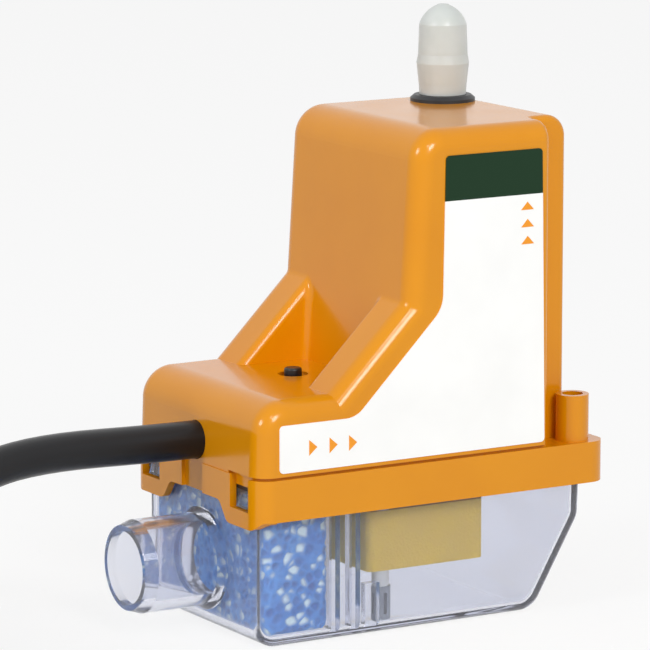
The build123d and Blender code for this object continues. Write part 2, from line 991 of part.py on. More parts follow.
def rotor_magnet():
    x, y = pump_axis()
    middle = motor_middle()
    body = rod(x, y, middle - magnet_ring_height / 2, middle + magnet_ring_height / 2, magnet_ring_radius)
    return body - rod(x, y, middle - magnet_ring_height, middle + magnet_ring_height, shaft_radius)


def stator_tooth_places():
    return [Rotation(0, 0, 360 * i / tooth_count) for i in range(tooth_count)]


def stator_core():
    outer = can_radius - can_wall - stator_gap
    bottom = -stator_height / 2
    ring = rod(0, 0, bottom, -bottom, outer) - rod(0, 0, bottom, -bottom, outer - stator_back)
    shoe_ring = rod(0, 0, bottom, -bottom, stator_bore + shoe_thickness)
    shoe_ring -= rod(0, 0, bottom, -bottom, stator_bore)
    inner = stator_bore + shoe_thickness - tooth_root
    tooth = block((inner, -tooth_width / 2, bottom), (outer - stator_back / 2, tooth_width / 2, -bottom))
    shoe = shoe_ring & block((0, -tooth_width, bottom), (outer, tooth_width, -bottom))
    body = ring
    for turn in stator_tooth_places():
        body += turn * tooth
        body += turn * shoe
    x, y = pump_axis()
    return Pos(x, y, motor_middle()) * body


def stator_coils():
    outer = can_radius - can_wall - stator_back
    inner = stator_bore + shoe_thickness
    half = tooth_width / 2 + coil_thickness
    rise = stator_height / 2 + coil_thickness
    coil = block((inner + coil_end_gap, -half, -rise), (outer - coil_back_gap, half, rise))
    coil -= block((inner, -tooth_width / 2, -stator_height / 2), (outer, tooth_width / 2, stator_height / 2))
    x, y = pump_axis()
    return [Pos(x, y, motor_middle()) * turn * coil for turn in stator_tooth_places()]


# Wobble drive


def wobble_frame():
    """Placement on the point where the slanted pin's axis crosses the motor axis."""
    x, y = pump_axis()
    return Pos(x, y, pump_level("wobble")) * Rotation(0, wobble_angle, 0)


def wobble_pin_solid(radius, bottom, top):
    pin = rod(0, 0, bottom, top, radius)
    return wobble_frame() * pin


def crank_top():
    return pump_level("chamber") + crank_lift + crank_height


def crank_hub():
    x, y = pump_axis()
    bottom = pump_level("chamber") + crank_lift
    body = rod(x, y, bottom, crank_top(), crank_radius)
    body -= rod(x, y, bottom - 1, crank_top() - crank_shaft_cover, shaft_radius)
    return body - wobble_pin_solid(wobble_pin_radius, crank_pin_bottom(), crank_height)


def crank_pin_bottom():
    return crank_top() - 1 - pump_level("wobble")


def wobble_pin():
    return wobble_pin_solid(wobble_pin_radius, crank_pin_bottom(), -wobble_pin_top)


def arm_angles():
    return [360 * i / arm_count + arm_turn for i in range(arm_count)]


def wobble_plate():
    neck_bottom = crank_top() + neck_gap - pump_level("wobble")
    body = rod(0, 0, -plate_thickness, 0, hub_radius) + rod(0, 0, neck_bottom, 0, neck_radius)
    for angle in arm_angles():
        arm = block((0, -arm_width / 2, -plate_thickness), (arm_reach, arm_width / 2, 0))
        arm += rod(arm_reach, 0, -plate_thickness, 0, arm_pad)
        arm -= rod(arm_reach, 0, -plate_thickness - 1, 1, stalk_radius + arm_hole_gap)
        body += Rotation(0, 0, angle) * arm
    body -= rod(0, 0, neck_bottom - 1, -neck_bore_end, wobble_pin_radius + running_gap)
    return wobble_frame() * body


# Pump head


def head_square(side):
    x, y = pump_axis()
    return Pos(x, y, 0) * RectangleRounded(side, side, head_round)


def head_corners():
    x, y = pump_axis()
    return [(x + i * head_screw_spread, y + j * head_screw_spread) for i in (-1, 1) for j in (-1, 1)]


def cup_places():
    x, y = pump_axis()
    turns = [math.radians(angle) for angle in arm_angles()]
    return [(x + arm_reach * math.cos(turn), y + arm_reach * math.sin(turn)) for turn in turns]


def drill_corners(body, bottom, top, radius):
    for x, y in head_corners():
        body -= rod(x, y, bottom, top, radius)
    return body


def chamber_body():
    x, y = pump_axis()
    bottom = pump_level("chamber")
    top = pump_level("diaphragm")
    body = slab(head_square(head_side), bottom, chamber_height)
    body -= rod(x, y, bottom + chamber_floor, top + 1, chamber_bore)
    body -= rod(x, y, bottom - 1, bottom + chamber_floor + 1, crank_radius + crank_gap)
    low = (-head_side, -chamber_window / 2, bottom + chamber_window_bottom)
    body -= Pos(x, y, 0) * block(low, (head_side, chamber_window / 2, top - chamber_window_top))
    return drill_corners(body, top - head_screw_length, top + 1, head_screw_radius)


def diaphragm():
    bottom = pump_level("diaphragm")
    top = bottom + diaphragm_thickness
    body = slab(head_square(head_side - 2 * diaphragm_inset), bottom, diaphragm_thickness)
    cup_bottom = bottom - cup_depth
    for x, y in cup_places():
        body += rod(x, y, cup_bottom, top, cup_radius)
        body -= rod(x, y, cup_bottom + cup_floor, top + 1, cup_radius - cup_wall)
        body += rod(x, y, cup_bottom - stalk_length, cup_bottom + cup_floor, stalk_radius)
    return drill_corners(body, bottom - 1, top + 1, head_screw_radius + head_hole_gap)


def valve_plate():
    bottom = pump_level("plate")
    top = bottom + valve_plate_thickness
    body = slab(head_square(head_side), bottom, valve_plate_thickness)
    centre_x, centre_y = pump_axis()
    for x, y in cup_places():
        body -= rod(x, y, bottom - 1, bottom + valve_seat_depth, valve_seat_radius)
        body -= rod(x, y, bottom - 1, top + 1, suction_port)
        port_x = centre_x + (x - centre_x) * discharge_port_share
        port_y = centre_y + (y - centre_y) * discharge_port_share
        body -= rod(port_x, port_y, bottom - 1, top + 1, discharge_port)
    return drill_corners(body, bottom - 1, top + 1, head_screw_radius + head_hole_gap)


def suction_valves():
    top = pump_level("plate") + valve_seat_depth
    return [rod(x, y, top - valve_thickness, top, valve_radius) for x, y in cup_places()]


def discharge_valve():
    x, y = pump_axis()
    top = pump_level("head")
    return rod(x, y, top, top + discharge_valve_thickness, discharge_valve_radius)


def head_inlet():
    x, y = pump_axis()
    return x - head_inlet_forward, y - head_inlet_near


def head_cover():
    x, y = pump_axis()
    bottom = pump_level("head")
    top = bottom + head_cover_height
    body = slab(head_square(head_side), bottom, head_cover_height)
    roof = top - head_cover_roof
    gallery = rod(x, y, bottom - 1, roof, head_gallery_outer) - rod(x, y, bottom - 2, top, head_gallery_inner)
    body -= gallery
    body -= rod(x, y, bottom - 1, roof, head_middle_radius)
    for barb_x, barb_y in (head_inlet(), (x, y)):
        body += rod(barb_x, barb_y, top - barb_root, top + barb_height, barb_radius)
        body -= rod(barb_x, barb_y, roof - 1, top + barb_height + 1, barb_bore)
    return drill_corners(body, bottom - 1, top + 1, head_screw_radius + head_hole_gap)


def head_screws():
    top = pump_level("head") + head_cover_height
    screws = []
    foot = pump_level("diaphragm") - head_screw_length + 1
    for x, y in head_corners():
        screw = rod(x, y, top, top + head_screw_head_height, head_screw_head)
        screws.append(screw + rod(x, y, foot, top + head_screw_head_height / 2, head_screw_radius))
    return screws


def damper_pads():
    x, y = pump_axis()
    middle = pump_level("chamber") + chamber_height / 2
    lean = math.tan(math.radians(tall_lean_angle))
    front_wall = front + tall_front + casing_wall + (middle + pad_size / 2 - buttress_top) * lean
    rear_wall = front + tall_rear - casing_wall
    spans = [(front_wall + pad_gap, x - head_side / 2), (x + head_side / 2, rear_wall - pad_gap)]
    return [
        block((low, -pad_size / 2, middle - pad_size / 2), (high, pad_size / 2, middle + pad_size / 2))
        for low, high in spans
    ]


# Outlet


def spigot_bottom():
    return tall_top - casing_wall - grommet_lower_lip - spigot_flange - spigot_nipple


def outlet_spigot():
    x, y = at(outlet_from_front, outlet_side)[:2]
    lip_under = tall_top - casing_wall - grommet_lower_lip
    flange_under = lip_under - spigot_flange
    crest = tall_top + barb_crest_height
    points = [
        (pipe_bore, spigot_bottom()),
        (barb_radius, spigot_bottom()),
        (barb_radius, flange_under),
        (grommet_neck, flange_under),
        (grommet_neck, lip_under),
        (spigot_radius, lip_under),
        (spigot_radius, crest),
        (barb_crest_radius, crest),
        (barb_crest_radius, crest + barb_crest_land),
        (spigot_radius, crest + barb_crest_land + barb_crest_slope),
        (spigot_radius, tall_top + spigot_height),
        (spigot_bore, tall_top + spigot_height),
        (spigot_bore, lip_under),
        (pipe_bore, flange_under),
    ]
    return turned(points, x, y)


def outlet_grommet():
    x, y = at(outlet_from_front, outlet_side)[:2]
    under = tall_top - casing_wall
    points = [
        (spigot_radius, under - grommet_lower_lip),
        (grommet_lower_radius, under - grommet_lower_lip),
        (grommet_lower_radius, under),
        (grommet_neck, under),
        (grommet_neck, tall_top),
        (grommet_radius, tall_top),
        (grommet_radius, tall_top + grommet_lip / 2),
        (grommet_radius - grommet_edge, tall_top + grommet_lip),
        (spigot_radius, tall_top + grommet_lip),
    ]
    return turned(points, x, y)


def transit_cap():
    """The cap slides over the spigot's crest, and its bore is wider round the crest when it is on."""
    x, y = at(outlet_from_front, outlet_side)[:2]
    bottom = tall_top + grommet_lip + cap_lift
    shoulder = tall_top + cap_shoulder_height
    tip = tall_top + cap_height
    outer = Polyline(
        (cap_foot_radius, bottom),
        (cap_flare_radius, tall_top + cap_flare_height),
        (cap_bulge, tall_top + cap_bulge_height),
        (cap_neck_radius, tall_top + cap_bulge_end),
        (cap_radius, shoulder),
    )
    over = ThreePointArc(
        (cap_radius, shoulder),
        (cap_shoulder_radius, shoulder + cap_shoulder_rise),
        (cap_tip_radius, tip - cap_tip_edge),
    )
    roof = tall_top + spigot_height + cap_roof
    crest = tall_top + barb_crest_height
    relief_low = crest - cap_relief_below
    relief_high = crest + barb_crest_land + cap_relief_above
    inner = Polyline(
        (cap_tip_radius, tip - cap_tip_edge),
        (cap_tip_radius - cap_tip_edge, tip),
        (0, tip),
        (0, roof),
        (cap_bore, roof),
        (cap_bore, relief_high + cap_relief_slope),
        (cap_relief_bore, relief_high),
        (cap_relief_bore, relief_low),
        (cap_bore, relief_low - cap_relief_slope),
        (cap_bore, bottom),
        (cap_foot_radius, bottom),
    )
    face = Plane.XZ * make_face([outer, over, inner])
    return Pos(x, y, 0) * revolve(face, Axis.Z)


# Electronics


def board_level():
    return deck_top + board_height


def circuit_board():
    low = at(board_front, board_near, board_level())
    body = block(low, at(board_rear, board_far, board_level() + board_thickness))
    for x, y in board_corners():
        body -= rod(x, y, board_level() - 1, board_level() + board_thickness + 1, board_hole_radius)
    return body


def board_face():
    """The height that the board's parts stand on."""
    return board_level() + board_thickness


def board_screws():
    top = board_face()
    screws = []
    for x, y in board_corners():
        head = rod(x, y, top, top + board_screw_head_height, board_screw_head)
        screws.append(head + rod(x, y, board_level() + solder_gap, top + board_screw_head_height / 2, board_screw_radius))
    return screws


def board_transformer():
    z = board_face()
    back = transformer_front + transformer_length
    far = transformer_near + transformer_width
    window_low = (transformer_front + transformer_leg, z + transformer_leg)
    window_high = (back - transformer_leg, z + transformer_height - transformer_leg)
    core = block(at(transformer_front, transformer_near, z), at(back, far, z + transformer_height))
    core -= block(at(window_low[0], transformer_near, window_low[1]), at(window_high[0], far, window_high[1]))
    winding_near = transformer_near + winding_inset
    winding = block(at(window_low[0], winding_near, window_low[1]), at(window_high[0], far - winding_inset, window_high[1]))
    return core + winding


def board_capacitors():
    z = board_face()
    x, y = tall_capacitor_place
    tall = rod(front + x, y, z, z + tall_capacitor_height, tall_capacitor_radius)
    x, y = short_capacitor_place
    return [tall, rod(front + x, y, z, z + short_capacitor_height, short_capacitor_radius)]


def terminal_block():
    z = board_face()
    top = z + terminal_height
    half = core_count * terminal_pitch / 2 + terminal_margin
    body = block(at(board_front, -half, z), at(board_front + terminal_length, half, top))
    x = front + board_front + terminal_length / 2
    for i in range(core_count):
        y = terminal_pitch * (i - (core_count - 1) / 2)
        body -= rod(x, y, top - terminal_hole_depth, top + 1, terminal_hole)
    return body


def tact_switch():
    x = front + button_from_front
    half = switch_side / 2
    body = block((x - half, -half, board_face()), (x + half, half, switch_top()))
    return body - rod(x, 0, switch_top() - switch_well_depth, switch_top() + 1, switch_well_radius)


def button_flange_top():
    return low_top - casing_wall - button_flange_gap


def switch_top():
    return button_flange_top() - button_flange - button_travel - button_stem_length


def button():
    x = front + button_from_front
    top = button_flange_top()
    body = rod(x, 0, top - button_flange, low_top + button_proud, button_radius)
    body = fillet(body.edges().group_by(Axis.Z)[-1], button_edge)
    body += rod(x, 0, top - button_flange, top, button_radius + button_flange_reach)
    return body + rod(x, 0, switch_top() - button_stem_rest, top - button_flange / 2, button_stem_radius)


def hall_board():
    z = deck_top + solder_gap
    top = z + sensor_thickness
    near = magnet_side - sensor_width / 2
    board = block(at(sensor_front, near, z), at(sensor_front + sensor_length, near + sensor_width, top))
    chip_near = magnet_side - sensor_chip_width / 2
    chip_rear = sensor_chip_front + sensor_chip_length
    chip_far = chip_near + sensor_chip_width
    return board + block(at(sensor_chip_front, chip_near, top), at(chip_rear, chip_far, top + sensor_chip_height))


def inner_cores():
    cores = []
    for i in range(core_count):
        y = core_spacing * (i - (core_count - 1) / 2)
        start = Plane(origin=at(cable_inner_end, y, cable_height + core_rise), z_dir=(1, 0, 0))
        cores.append(extrude(start * Circle(inner_core_radius), amount=board_front - cable_inner_end))
    return cores


def motor_leads():
    z = board_face() + motor_lead_rise
    leads = []
    for i in (-1, 0, 1):
        y = motor_lead_side + motor_lead_pitch * i
        start = front + board_rear - motor_lead_overlap
        end = pump_axis()[0] - math.sqrt(can_radius**2 - (y - motor_lead_radius) ** 2) - solder_gap
        lead = Cylinder(motor_lead_radius, end - start, align=(Align.CENTER, Align.CENTER, Align.MIN))
        leads.append(Pos(start, y, z) * Rotation(0, 90, 0) * lead)
    return leads


def clamp_top():
    return cable_height + cable_radius + clamp_roof


def cable_clamp():
    low = at(clamp_front, -clamp_half, cable_height + clamp_gap)
    body = block(low, at(clamp_front + clamp_length, clamp_half, clamp_top())) - cable_channel()
    x = front + clamp_front + clamp_length / 2
    for y in (-clamp_screw_place, clamp_screw_place):
        body -= rod(x, y, cable_height - 1, clamp_top() + 1, clamp_hole_radius)
    return body


def clamp_screws():
    x = front + clamp_front + clamp_length / 2
    top = clamp_top()
    foot = deck_top + clamp_screw_foot
    screws = []
    for y in (-clamp_screw_place, clamp_screw_place):
        screw = rod(x, y, top, top + clamp_head_height, clamp_head_radius)
        screws.append(screw + rod(x, y, foot, top + clamp_head_height / 2, clamp_screw_radius))
    return screws


def casing_screws():
    screws = []
    top = deck_top + casing_screw_length
    for x, y in casing_screw_places():
        head = rod(x, y, deck_bottom - casing_screw_head_height, deck_bottom, casing_screw_head)
        screws.append(head + rod(x, y, deck_bottom - casing_screw_head_height / 2, top, casing_screw_radius))
    return screws


# Mains lead: a free route, then a round coil, a tie and the stripped cores


def lead_route():
    """Points chosen by hand, then the level last run into the coil's outer top turn."""
    join = coil_point(lead_join_angle, coil_top() - cable_radius)
    dx, dy = winding_direction(lead_join_angle)
    return [
        at(cable_inner_end, 0, cable_height),
        at(-6, 0, cable_height),
        at(-33.9, -3, cable_height + 1.6),
        at(-49.9, -7.2, cable_height - 0.4),
        at(-64.9, -14.2, cable_height - 5.2),
        at(-79.9, -20, cable_height - 12.2),
        (join[0] - dx * last_run, join[1] - dy * last_run, join[2]),
        join,
    ]


def winding_direction(angle):
    """The way the turns run at an angle round the coil, clockwise from above."""
    return math.sin(math.radians(angle)), -math.cos(math.radians(angle))


def coil_centre():
    return front + coil_from_front, coil_side


def coil_top():
    return 2 * cable_radius * coil_high


def coil_outer():
    return coil_turn_radius + cable_radius * coil_wide


def coil_inner():
    return coil_turn_radius - cable_radius * coil_wide


def coil_point(angle, height):
    """A point on the outermost turn of the coil."""
    x, y = coil_centre()
    radius = coil_outer() - cable_radius
    return (x + radius * math.cos(math.radians(angle)), y + radius * math.sin(math.radians(angle)), height)


def lead_radii(points):
    """The largest arc that each corner's two runs leave room for."""
    radii = []
    for a, b, c in zip(points, points[1:], points[2:]):
        before = Vector(*b) - Vector(*a)
        after = Vector(*c) - Vector(*b)
        turn = math.radians(before.get_angle(after))
        radii.append(0.45 * min(before.length, after.length) / math.tan(turn / 2))
    return radii


def mains_lead():
    points = lead_route()
    radii = lead_radii(points)
    print("lead arc radii", [round(radius, 1) for radius in radii])
    path = FilletPolyline(*points, radius=radii)
    start = Plane(origin=path @ 0, z_dir=path % 0)
    tube = sweep(start * Circle(cable_radius), path=path)
    section = math.pi * cable_radius**2
    print("lead tube length", round(path.length, 1), "volume over section", round(tube.volume / section, 1))
    return tube


def coil_sector(inner, outer, bottom, top, start, end):
    """Part of a ring round the coil's centre, between two angles."""
    face = Plane.XZ * make_face(Polyline((inner, bottom), (outer, bottom), (outer, top), (inner, top), close=True))
    ring = revolve(face, Axis.Z, revolution_arc=end - start)
    x, y = coil_centre()
    return Pos(x, y, 0) * Rotation(0, 0, start) * ring


def tie_band():
    """The band of the tie round the section of the turns."""
    low, high = coil_inner() + tie_thickness, coil_outer() - tie_thickness
    band = coil_sector(coil_inner(), coil_outer(), 0, coil_top(), 0, 360)
    band -= coil_sector(low, high, tie_thickness, coil_top() - tie_thickness, 0, 360)
    x, y = coil_centre()
    width = block((coil_inner() - 1, -tie_width / 2, -1), (coil_outer() + 1, tie_width / 2, coil_top() + 1))
    return band & (Pos(x, y, 0) * Rotation(0, 0, tie_angle) * width)


def lead_coil():
    """The turns as one ring, open where the lead lands on it and where the tail leaves its inside."""
    top = coil_top()
    body = coil_sector(coil_inner(), coil_outer(), 0, top, 0, 360)
    landing = top - 2 * cable_radius
    landed = lead_join_angle + lead_landing
    body -= coil_sector(coil_turn_radius, coil_outer() + 1, landing, top + 1, lead_join_angle, landed)
    left = tail_angle - tail_room
    body -= coil_sector(coil_inner() - 1, coil_turn_radius, -1, 2 * cable_radius, left, tail_angle)
    return body - tie_band()


def tail_line():
    """The tail's arc, which leaves the inner bottom turn and bends further in."""
    x, y = coil_centre()
    middle = coil_inner() + cable_radius - tail_bend
    turn = math.radians(tail_angle)
    centre = (x + middle * math.cos(turn), y + middle * math.sin(turn), cable_radius)
    return CenterArc(centre, tail_bend, tail_angle, -math.degrees(tail_length / tail_bend))


def lead_tail():
    path = tail_line()
    return sweep(Plane(origin=path @ 0, z_dir=path % 0) * Circle(cable_radius), path=path)


def stripped_core(i):
    """One core from the sheath's end to its bare copper, spread from its neighbours."""
    tail = tail_line()
    x, y, _ = tail @ 1
    dx, dy, _ = tail % 1
    across = i - (core_count - 1) / 2
    turn = math.radians(core_spread * across - core_turn)
    away = (dx * math.cos(turn) - dy * math.sin(turn), dx * math.sin(turn) + dy * math.cos(turn))
    side = 2.1 * core_radius * across
    start = Vector(x - dy * side, y + dx * side, 2 * core_radius)
    knee = start + Vector(dx, dy, 0) * core_knee
    floor = knee + Vector(*away, 0) * core_length / 2 - Vector(0, 0, core_radius)
    end = floor + Vector(*away, 0) * core_length / 2
    path = FilletPolyline(start, knee, floor, end, radius=core_bend)
    core = sweep(Plane(origin=path @ 0, z_dir=path % 0) * Circle(core_radius), path=path)
    bare = Plane(origin=path @ 1, z_dir=path % 1) * Circle(bare_share * core_radius)
    return core + extrude(bare, amount=bare_length)


# Label plate on the near side


def label_plate():
    """The blank label, low beside the cable and tall up the rear of the housing."""
    lean = math.tan(math.radians(label_lean_angle))
    bottom = deck_top + label_bottom_margin
    top = tall_top - label_top_margin
    band_top = bottom + label_band_height
    foot = front + buttress_foot + label_slope_gap
    tall_x = front + tall_front + label_tall_gap
    knee = band_top + (tall_x - foot) * math.tan(math.radians(buttress_angle))
    rear_x = front + notch_front - label_rear_margin
    points = [
        (front + label_front, bottom),
        (rear_x, bottom),
        (rear_x - (top - bottom) * lean, top),
        (tall_x + (top - knee) * lean, top),
        (tall_x, knee),
        (foot, band_top),
        (front + label_front, band_top),
    ]
    radii = [label_round, label_round, label_round, label_round, label_knee_round, label_foot_round, label_round]
    face = Pos(0, -casing_half, 0) * outline(points, radii, Plane.XZ)
    return extrude(face, amount=label_thickness, dir=(0, -1, 0))


def build_nodes():
    return {
        "upper_casing": upper_casing(),
        "base_skirt": base_skirt(),
        "clip_lugs": clip_lugs(),
        "tank": tank(),
        "tank_gasket": tank_gasket(),
        "filter_foam": filter_foam(),
        "float_block": float_block(),
        "float_magnet": float_magnet(),
        "float_pins": float_pins(),
        "suction_pipe": suction_pipe(),
        "suction_strainer": suction_strainer(),
        "suction_hose": suction_hose(),
        "outlet_hose": outlet_hose(),
        "motor_mount": motor_mount(),
        "motor_can": motor_can(),
        "motor_cap": motor_cap(),
        "motor_bearings": motor_bearings(),
        "motor_shaft": motor_shaft(),
        "rotor_magnet": rotor_magnet(),
        "stator_core": stator_core(),
        "stator_coils": stator_coils(),
        "crank_hub": crank_hub(),
        "wobble_pin": wobble_pin(),
        "wobble_plate": wobble_plate(),
        "chamber_body": chamber_body(),
        "diaphragm": diaphragm(),
        "valve_plate": valve_plate(),
        "suction_valves": suction_valves(),
        "discharge_valve": discharge_valve(),
        "head_cover": head_cover(),
        "head_screws": head_screws(),
        "damper_pads": damper_pads(),
        "outlet_spigot": outlet_spigot(),
        "outlet_grommet": outlet_grommet(),
        "transit_cap": transit_cap(),
        "circuit_board": circuit_board(),
        "board_screws": board_screws(),
        "board_transformer": board_transformer(),
        "board_capacitors": board_capacitors(),
        "terminal_block": terminal_block(),
        "tact_switch": tact_switch(),
        "test_button": button(),
        "hall_board": hall_board(),
        "inner_cores": inner_cores(),
        "motor_leads": motor_leads(),
        "cable_clamp": cable_clamp(),
        "clamp_screws": clamp_screws(),
        "casing_screws": casing_screws(),
        "label_plate": label_plate(),
        "mains_lead": mains_lead(),
        "lead_coil": lead_coil(),
        "coil_tie": tie_band(),
        "lead_tail": lead_tail(),
        "core_live": stripped_core(0),
        "core_neutral": stripped_core(1),
        "core_alarm": [stripped_core(2), stripped_core(3)],
    }


os.makedirs("parts", exist_ok=True)
for name, shape in build_nodes().items():
    solids = shape if isinstance(shape, list) else [shape]
    export_step(Compound(children=solids) if len(solids) > 1 else solids[0], f"parts/{name}.step")
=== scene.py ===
"""Finish and setting of a condensate pump: a clear tank with foam and float under a glossy housing."""

import math

import bpy
import numpy as np
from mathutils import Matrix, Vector


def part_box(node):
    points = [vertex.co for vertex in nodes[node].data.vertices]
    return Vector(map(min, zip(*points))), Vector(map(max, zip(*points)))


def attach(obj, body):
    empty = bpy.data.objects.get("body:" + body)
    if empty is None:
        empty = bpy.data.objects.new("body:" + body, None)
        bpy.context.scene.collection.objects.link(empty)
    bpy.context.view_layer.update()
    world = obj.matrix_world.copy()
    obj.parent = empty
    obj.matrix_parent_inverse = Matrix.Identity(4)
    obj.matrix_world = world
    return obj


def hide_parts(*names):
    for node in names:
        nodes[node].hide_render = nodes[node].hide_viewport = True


MM = 0.001

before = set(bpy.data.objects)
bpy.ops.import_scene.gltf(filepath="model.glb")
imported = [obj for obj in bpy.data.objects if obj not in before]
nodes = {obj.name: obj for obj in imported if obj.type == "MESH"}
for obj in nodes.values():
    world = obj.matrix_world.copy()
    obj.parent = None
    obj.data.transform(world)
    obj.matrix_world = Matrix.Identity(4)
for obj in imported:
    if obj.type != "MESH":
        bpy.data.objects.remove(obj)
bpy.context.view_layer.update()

# Camera: its place, the way it looks and its focal length in picture widths
CAMERA_PLACE = (-0.41196, -0.68651, 0.19789)
CAMERA_AZIMUTH = 30.8
CAMERA_ELEVATION = 10.2
FOCAL_LENGTH = 6.7508
SENSOR_WIDTH = 36.0
NEAREST_SEEN = 0.05
FURTHEST_SEEN = 50.0

# Mains lead, in millimetres
CABLE_RADIUS = 3.5
CABLE_ROUTE = [
    (-22.6, 0.0, 35.4),
    (-36.6, 0.0, 35.4),
    (-64.5, -3.0, 37.0),
    (-80.5, -7.2, 35.0),
    (-95.5, -14.2, 30.2),
    (-110.5, -20.0, 23.2),
    (-124.7, -19.3, 18.2),
]
COIL_CENTRE = (-110.7, 21.6)
COIL_OUTER_TURN = 41.5
COIL_INNER_TURN = 34.5
COIL_LAYERS = (17.5, 10.5, 3.5)
COIL_START_ANGLE = 235.0
COIL_LAST_ARC = 80.0
FULL_TURNS = 5
POINT_STEP = 15.0
SLIDE_START = 112.0
SLIDE_LAG = 27.0
SLIDE_ARC = 90.0
TIE_ANGLE = 195.0
TIE_PINCH = 1.1
TIE_PINCH_ARC = 12.0
TAIL_BEND = 24.0
TAIL_ARC = 57.3
TAIL_POINTS = 6
STEPS_ALONG = 6
STEPS_ROUND = 7

# Filter foam
FOAM_CELL = 1.7
FOAM_STEP = 0.28
FOAM_PIT = 0.55
FOAM_ROUND = 1.5
FOAM_WALL_SHARE = 0.45
FOAM_LEAST_PIT = 0.5
# Cells whose number lies above this get a painted highlight, a pale glint in their pit
FOAM_PAINTED_GLINT_FROM = 0.66
FOAM_SEED = 3
OWNER_SEED = 7
MERGE_FINENESS = 64
HASH_WEIGHTS = (127.1, 311.7, 74.7)
HASH_SEED_WEIGHT = 53.9
HASH_SPREAD = 43758.5453

# Print on the label, in millimetres
HEADER_BOTTOM = 79.3
ARROW_THICKNESS = 0.04
UP_ARROWS = [(26.5, 77.2), (26.55, 74.0), (26.6, 70.85)]
SIDE_ARROWS = [(-19.1, 36.9), (-14.85, 36.9), (-10.75, 36.9)]
UP_ARROW_SIZE = (2.8, 1.5)
SIDE_ARROW_SIZE = (2.9, 1.7)

# Noise lies mostly between these
NOISE_LOW = 0.3
NOISE_HIGH = 0.7

# Setting: the floor in metres, and each lamp's name, place, width and power
FLOOR_DROP_MM = 0.05
FLOOR_GLOW = 0.85
FLOOR_HALF = 4.0
WORLD_STRENGTH = 0.4
LAMPS = [
    ("key_lamp", (-0.2, -1.5, 1.0), 0.6, 15.0),
    ("side_lamp", (-1.5, -0.2, 0.9), 0.5, 9.0),
    ("glint_lamp", (-0.5, -1.0, 1.1), 0.12, 1.2),
]
LAMP_AIM = (0.0, 0.0, 0.05)


# Colours and shader nodes


def linear(code):
    """An sRGB hex colour as the linear colour that a shader takes."""
    parts = [int(code[i : i + 2], 16) / 255 for i in (1, 3, 5)]
    lit = [c / 12.92 if c <= 0.04045 else ((c + 0.055) / 1.055) ** 2.4 for c in parts]
    return (*lit, 1.0)


def add_node(tree, kind, settings=None, links=None):
    """Adds a node, sets its properties and sockets, and links other nodes' outputs to it."""
    node = tree.nodes.new(kind)
    for key, value in (settings or {}).items():
        if isinstance(key, int) or key in node.inputs:
            node.inputs[key].default_value = value
        else:
            setattr(node, key, value)
    for key, source in (links or {}).items():
        tree.links.new(source, node.inputs[key])
    return node


def start_material(name):
    material = bpy.data.materials.new(name)
    material.use_nodes = True
    material.node_tree.nodes.clear()
    return material


def place_in_mm(tree):
    """Object coordinates counted in millimetres."""
    coordinates = add_node(tree, "ShaderNodeTexCoord")
    scaled = add_node(
        tree,
        "ShaderNodeVectorMath",
        {"operation": "SCALE", "Scale": 1 / MM},
        {0: coordinates.outputs["Object"]},
    )
    return scaled.outputs[0]


def noise(tree, point, size_mm, detail=2.0, roughness=0.5):
    """Noise whose lumps are about size_mm wide."""
    return add_node(
        tree,
        "ShaderNodeTexNoise",
        {"Scale": 1 / size_mm, "Detail": detail, "Roughness": roughness},
        {"Vector": point},
    ).outputs["Fac"]


def between(tree, amount, low, high):
    """A number from low to high as amount goes through the range of a noise."""
    return add_node(
        tree,
        "ShaderNodeMapRange",
        {"From Min": NOISE_LOW, "From Max": NOISE_HIGH, "To Min": low, "To Max": high},
        {"Value": amount},
    ).outputs["Result"]


def blend_colours(tree, amount, first, second):
    """first where amount is 0 and second where it is 1."""
    mix = add_node(tree, "ShaderNodeMix", {"data_type": "RGBA"}, {0: amount})
    for socket, value in ((6, first), (7, second)):
        if isinstance(value, str):
            mix.inputs[socket].default_value = linear(value)
        else:
            tree.links.new(value, mix.inputs[socket])
    return mix.outputs[2]


def bump(tree, height, depth_mm, strength=1.0):
    """A normal raised by height times depth_mm."""
    return add_node(
        tree,
        "ShaderNodeBump",
        {"Strength": strength, "Distance": depth_mm * MM},
        {"Height": height},
    ).outputs["Normal"]


def surface(material, settings, links):
    """The principled shader of a material, joined to its output."""
    tree = material.node_tree
    shader = add_node(tree, "ShaderNodeBsdfPrincipled", settings, links)
    add_node(tree, "ShaderNodeOutputMaterial", links={"Surface": shader.outputs[0]})
    return material


# Materials


def glossy_moulded_abs():
    """Gloss ABS out of a polished mould: deep colour, soft orange peel and a clear sheen on its rounds."""
    material = start_material("glossy_moulded_abs")
    tree = material.node_tree
    point = place_in_mm(tree)
    cloud = between(tree, noise(tree, point, 22.0, 3.0), 0.0, 1.0)
    colour = blend_colours(tree, cloud, "#DF9103", "#DA8B02")
    peel = noise(tree, point, 1.6, 1.0)
    rough = between(tree, noise(tree, point, 9.0, 4.0), 0.16, 0.22)
    return surface(
        material,
        {
            "IOR": 1.54,
            "Specular IOR Level": 0.25,
            "Coat Weight": 0.2,
            "Coat Roughness": 0.04,
            "Coat IOR": 1.5,
        },
        {"Base Color": colour, "Roughness": rough, "Normal": bump(tree, peel, 0.006)},
    )


